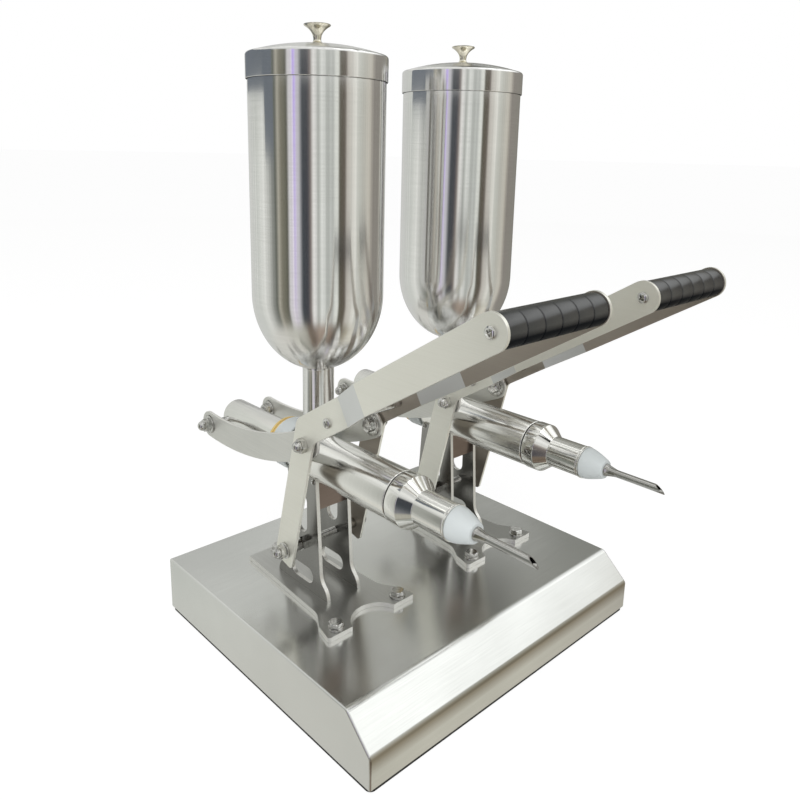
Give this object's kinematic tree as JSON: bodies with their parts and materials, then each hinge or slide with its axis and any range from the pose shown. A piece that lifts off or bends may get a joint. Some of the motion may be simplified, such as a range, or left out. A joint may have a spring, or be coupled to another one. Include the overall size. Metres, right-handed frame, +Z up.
{
  "type": "cream filling machine",
  "caption": "Manual cream filling machine with hoppers, hand levers, coupled links and pistons, and filling needles on a folded steel base.",
  "frame": {"origin": "on the table, under the middle of the base", "axes": "+Z up, needles and grips point along -Y, +X to the right seen from the front"},
  "size_m": [0.4, 0.4585, 0.64],
  "materials": {
    "brushed_steel": "satin brushed stainless steel",
    "polished_steel": "polished stainless steel",
    "dark_steel": "satin stainless steel, dark reflections",
    "fastener_steel": "bright nickel plated",
    "white_plastic": "milky white food plastic",
    "brass": "turned brass",
    "black_plastic": "semi-gloss black",
    "black_rubber": "matt black rubber"
  },
  "bodies": {
    "frame": {"base_shell": "brushed_steel", "base_ribs": "dark_steel", "base_trim": "black_rubber", "left_bracket_plate": "polished_steel", "left_bracket_bolts": "fastener_steel", "left_cheek_plates": "dark_steel", "left_cradle_plate": "dark_steel", "left_stand_screws": "fastener_steel", "left_barrel": "polished_steel", "left_neck": "polished_steel", "left_hopper": "polished_steel", "left_seam_ring": "black_rubber", "left_head": "polished_steel", "left_nozzle": "white_plastic", "left_needle": "polished_steel", "left_gland": "white_plastic", "left_gland_ring": "brass", "left_pivot_rod": "fastener_steel", "left_pivot_spacers": "fastener_steel", "right_bracket_plate": "polished_steel", "right_bracket_bolts": "fastener_steel", "right_cheek_plates": "dark_steel", "right_cradle_plate": "dark_steel", "right_stand_screws": "fastener_steel", "right_barrel": "polished_steel", "right_neck": "polished_steel", "right_hopper": "polished_steel", "right_seam_ring": "black_rubber", "right_head": "polished_steel", "right_nozzle": "white_plastic", "right_needle": "polished_steel", "right_gland": "white_plastic", "right_gland_ring": "brass", "right_pivot_rod": "fastener_steel", "right_pivot_spacers": "fastener_steel"},
    "left_lever": {"left_lever_plates": "brushed_steel", "left_cross_bar": "fastener_steel", "left_grip": "black_plastic", "left_grip_screws": "fastener_steel", "left_elbow_bolts": "fastener_steel"},
    "left_link": {"left_links": "brushed_steel"},
    "left_plunger": {"left_piston": "white_plastic", "left_piston_seals": "black_rubber", "left_piston_rod": "polished_steel", "left_tail_pin": "fastener_steel"},
    "left_cover": {"left_lid": "polished_steel", "left_lid_knob": "polished_steel"},
    "right_lever": {"right_lever_plates": "brushed_steel", "right_cross_bar": "fastener_steel", "right_grip": "black_plastic", "right_grip_screws": "fastener_steel", "right_elbow_bolts": "fastener_steel"},
    "right_link": {"right_links": "brushed_steel"},
    "right_plunger": {"right_piston": "white_plastic", "right_piston_seals": "black_rubber", "right_piston_rod": "polished_steel", "right_tail_pin": "fastener_steel"},
    "right_cover": {"right_lid": "polished_steel", "right_lid_knob": "polished_steel"}
  },
  "joints": [
    {"name": "left_lever_pivot", "type": "hinge", "parent": "frame", "child": "left_lever", "pos_m": [-0.1, 0.0205, 0.1225], "axis": [1, 0, 0], "range_deg": [-15, 20]},
    {"name": "left_elbow", "type": "hinge", "parent": "left_lever", "child": "left_link", "pos_m": [-0.1, -0.01384, 0.24936], "axis": [1, 0, 0], "range_deg": [-16, 12]},
    {"name": "left_piston_slide", "type": "slide", "parent": "frame", "child": "left_plunger", "axis": [0, -1, 0], "range_m": [-0.031, 0.041]},
    {"name": "left_lid_lift", "type": "slide", "parent": "frame", "child": "left_cover", "axis": [0, 0, 1], "range_m": [0, 0.06]},
    {"name": "right_lever_pivot", "type": "hinge", "parent": "frame", "child": "right_lever", "pos_m": [0.1, 0.0205, 0.1225], "axis": [1, 0, 0], "range_deg": [-15, 20]},
    {"name": "right_elbow", "type": "hinge", "parent": "right_lever", "child": "right_link", "pos_m": [0.1, -0.01384, 0.24936], "axis": [1, 0, 0], "range_deg": [-16, 12]},
    {"name": "right_piston_slide", "type": "slide", "parent": "frame", "child": "right_plunger", "axis": [0, -1, 0], "range_m": [-0.031, 0.041]},
    {"name": "right_lid_lift", "type": "slide", "parent": "frame", "child": "right_cover", "axis": [0, 0, 1], "range_m": [0, 0.06]}
  ],
  "couplings": [
    {"joint": "left_elbow", "follows": "left_lever_pivot", "ratio": -0.795},
    {"joint": "left_piston_slide", "follows": "left_lever_pivot", "m_per_rad": 0.1165},
    {"joint": "right_elbow", "follows": "right_lever_pivot", "ratio": -0.795},
    {"joint": "right_piston_slide", "follows": "right_lever_pivot", "m_per_rad": 0.1165}
  ]
}
